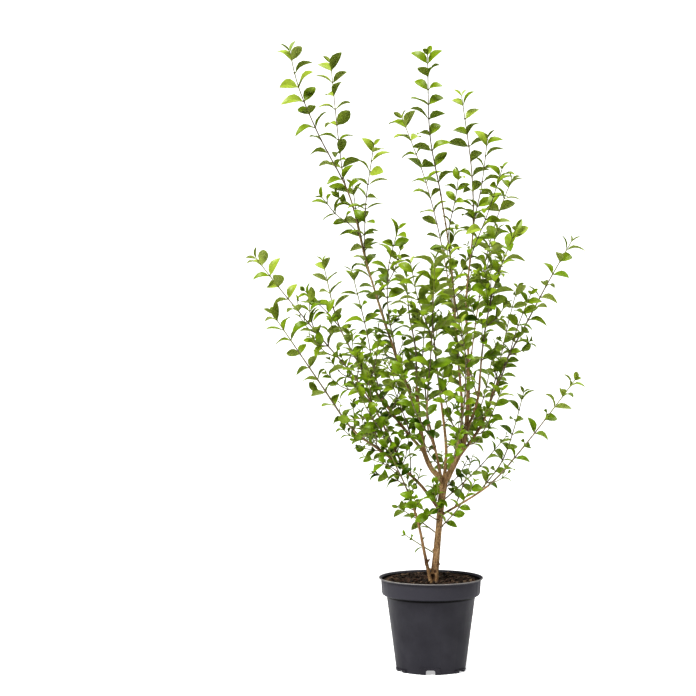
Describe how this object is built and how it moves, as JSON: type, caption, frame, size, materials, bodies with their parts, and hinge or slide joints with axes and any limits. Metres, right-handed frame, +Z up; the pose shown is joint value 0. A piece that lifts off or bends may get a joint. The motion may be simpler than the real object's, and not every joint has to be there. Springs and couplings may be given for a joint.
{
  "type": "potted privet shrub",
  "caption": "Young open shrub with slender arching leafy shoots on thin boughs from a short trunk, growing in a round black nursery pot.",
  "frame": {"origin": "middle of the pot's flat underside, on the ground", "axes": "+Z up along the plant's height; +X to the right and +Y away from the viewer of the front view"},
  "size_m": [0.7422, 0.5659, 1.358],
  "materials": {
    "pot_plastic": "matte charcoal with a soft sheen",
    "soil": "rough moist bark peat",
    "trunk_bark": "rough tan bark",
    "bough_bark": "matte brown bark",
    "foliage": "satin leaf green"
  },
  "bodies": {
    "root": {"pot": "pot_plastic", "soil": "soil", "trunk": "trunk_bark", "second_stem": "bough_bark", "left_bough": "bough_bark", "left_outer_bough": "bough_bark", "top_left_bough": "bough_bark", "centre_bough": "bough_bark", "right_bough": "bough_bark", "centre_top_bough": "bough_bark", "right_upper_bough": "bough_bark", "right_outer_bough": "bough_bark", "low_left_bough": "bough_bark", "low_left_fork": "bough_bark", "low_right_bough": "bough_bark", "back_left_bough": "bough_bark", "back_right_bough": "bough_bark", "front_left_bough": "bough_bark", "front_right_bough": "bough_bark", "leaves_top_left": "foliage", "leaves_left_inner": "foliage", "leaves_left_back": "foliage", "leaves_far_left": "foliage", "leaves_low_far_left": "foliage", "leaves_left_outer": "foliage", "leaves_left_mid": "foliage", "leaves_left_behind": "foliage", "leaves_left_near": "foliage", "leaves_low_left_front": "foliage", "leaves_low_left_inner": "foliage", "leaves_centre_back": "foliage", "leaves_centre_front": "foliage", "leaves_centre": "foliage", "leaves_top_centre": "foliage", "leaves_top_centre_back": "foliage", "leaves_top_right": "foliage", "leaves_right_back": "foliage", "leaves_right_front": "foliage", "leaves_right_inner": "foliage", "leaves_right_behind": "foliage", "leaves_right_ahead": "foliage", "leaves_right_near": "foliage", "leaves_far_right": "foliage", "leaves_low_far_right": "foliage", "leaves_low_right": "foliage", "leaves_low_right_back": "foliage", "leaves_low_right_front": "foliage", "leaves_low_twig": "foliage", "leaves_low_left": "foliage", "leaves_low_left_back": "foliage", "leaves_second_stem": "foliage", "leaves_front_left": "foliage", "leaves_front_right": "foliage", "leaves_front_low": "foliage", "leaves_back_left": "foliage", "leaves_back_far_left": "foliage", "leaves_back_right": "foliage", "leaves_back_far_right": "foliage", "leaves_inner_front": "foliage", "leaves_inner_left": "foliage"}
  },
  "joints": []
}
